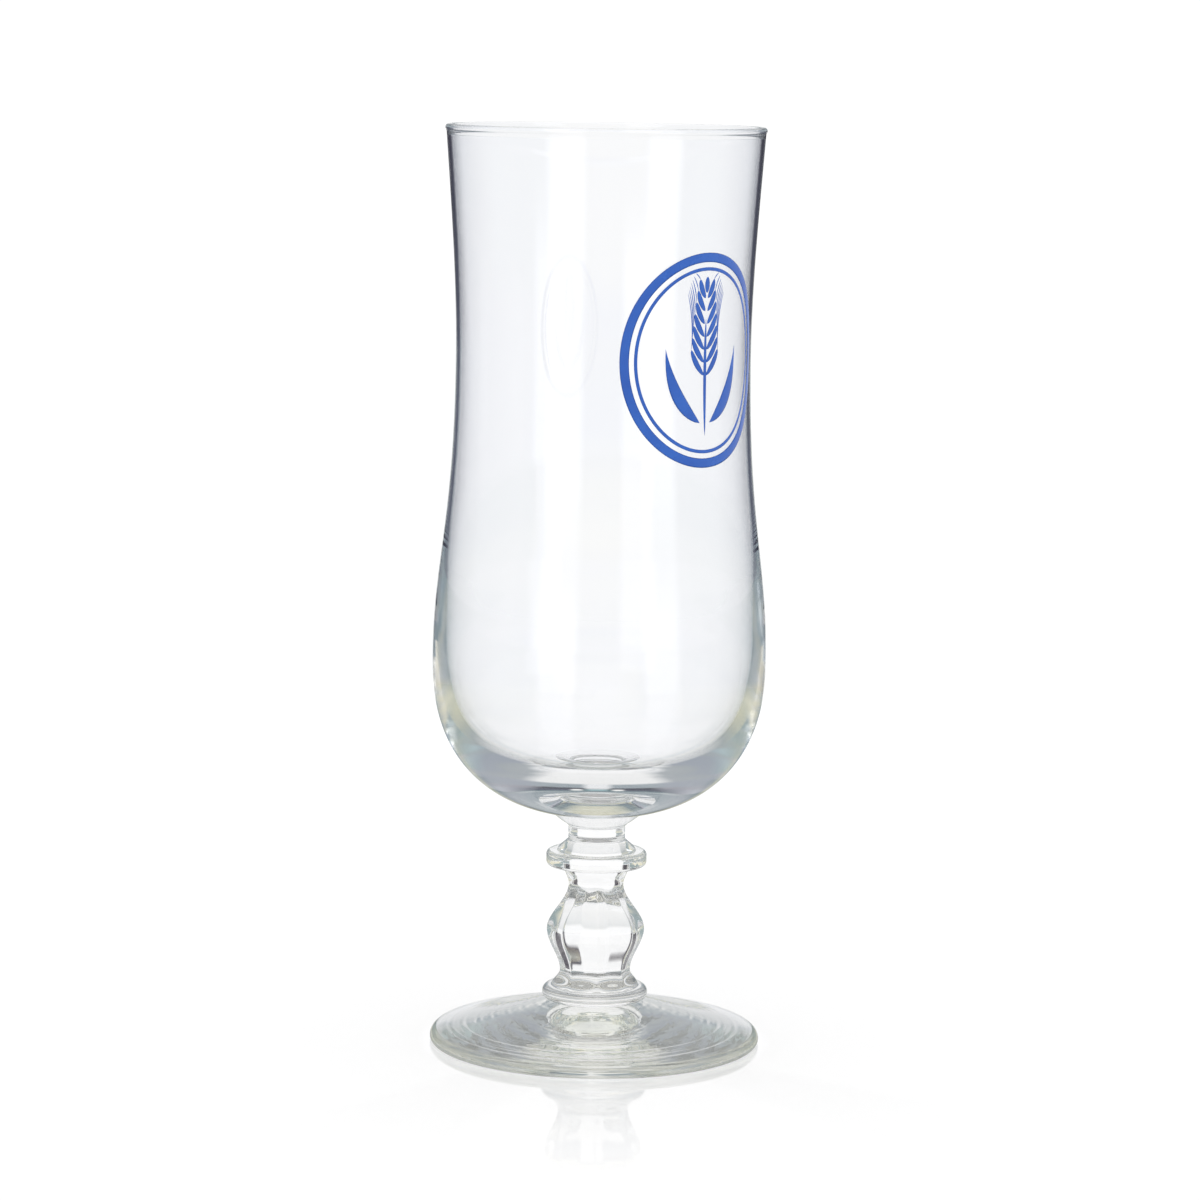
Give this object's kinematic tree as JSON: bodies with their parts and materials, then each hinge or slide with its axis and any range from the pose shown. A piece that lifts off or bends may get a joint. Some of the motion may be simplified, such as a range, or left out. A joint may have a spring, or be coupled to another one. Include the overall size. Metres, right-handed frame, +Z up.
{
  "type": "stemmed beer glass",
  "caption": "Tall waisted beer glass on a short pressed stem with a flat collar and a faceted knop, on a low round foot, with a blue barley print on the bowl.",
  "frame": {"origin": "middle of the plane that the foot rests on, on the glass's axis", "axes": "+Z up along the glass's axis, the pictured front at -Y with the print to its right, +X to the right"},
  "size_m": [0.069, 0.069, 0.1905],
  "materials": {
    "clear_glass": "fire-polished clear soda-lime glass",
    "blue_enamel": "fired screen-printed enamel, satin gloss"
  },
  "bodies": {
    "root": {"foot": "clear_glass", "foot_ring": "clear_glass", "knop": "clear_glass", "collar": "clear_glass", "neck": "clear_glass", "bowl_wafer": "clear_glass", "bowl": "clear_glass", "print_band": "blue_enamel", "print_inner_line": "blue_enamel", "print_ear": "blue_enamel", "print_leaf_left": "blue_enamel", "print_leaf_right": "blue_enamel"}
  },
  "joints": []
}
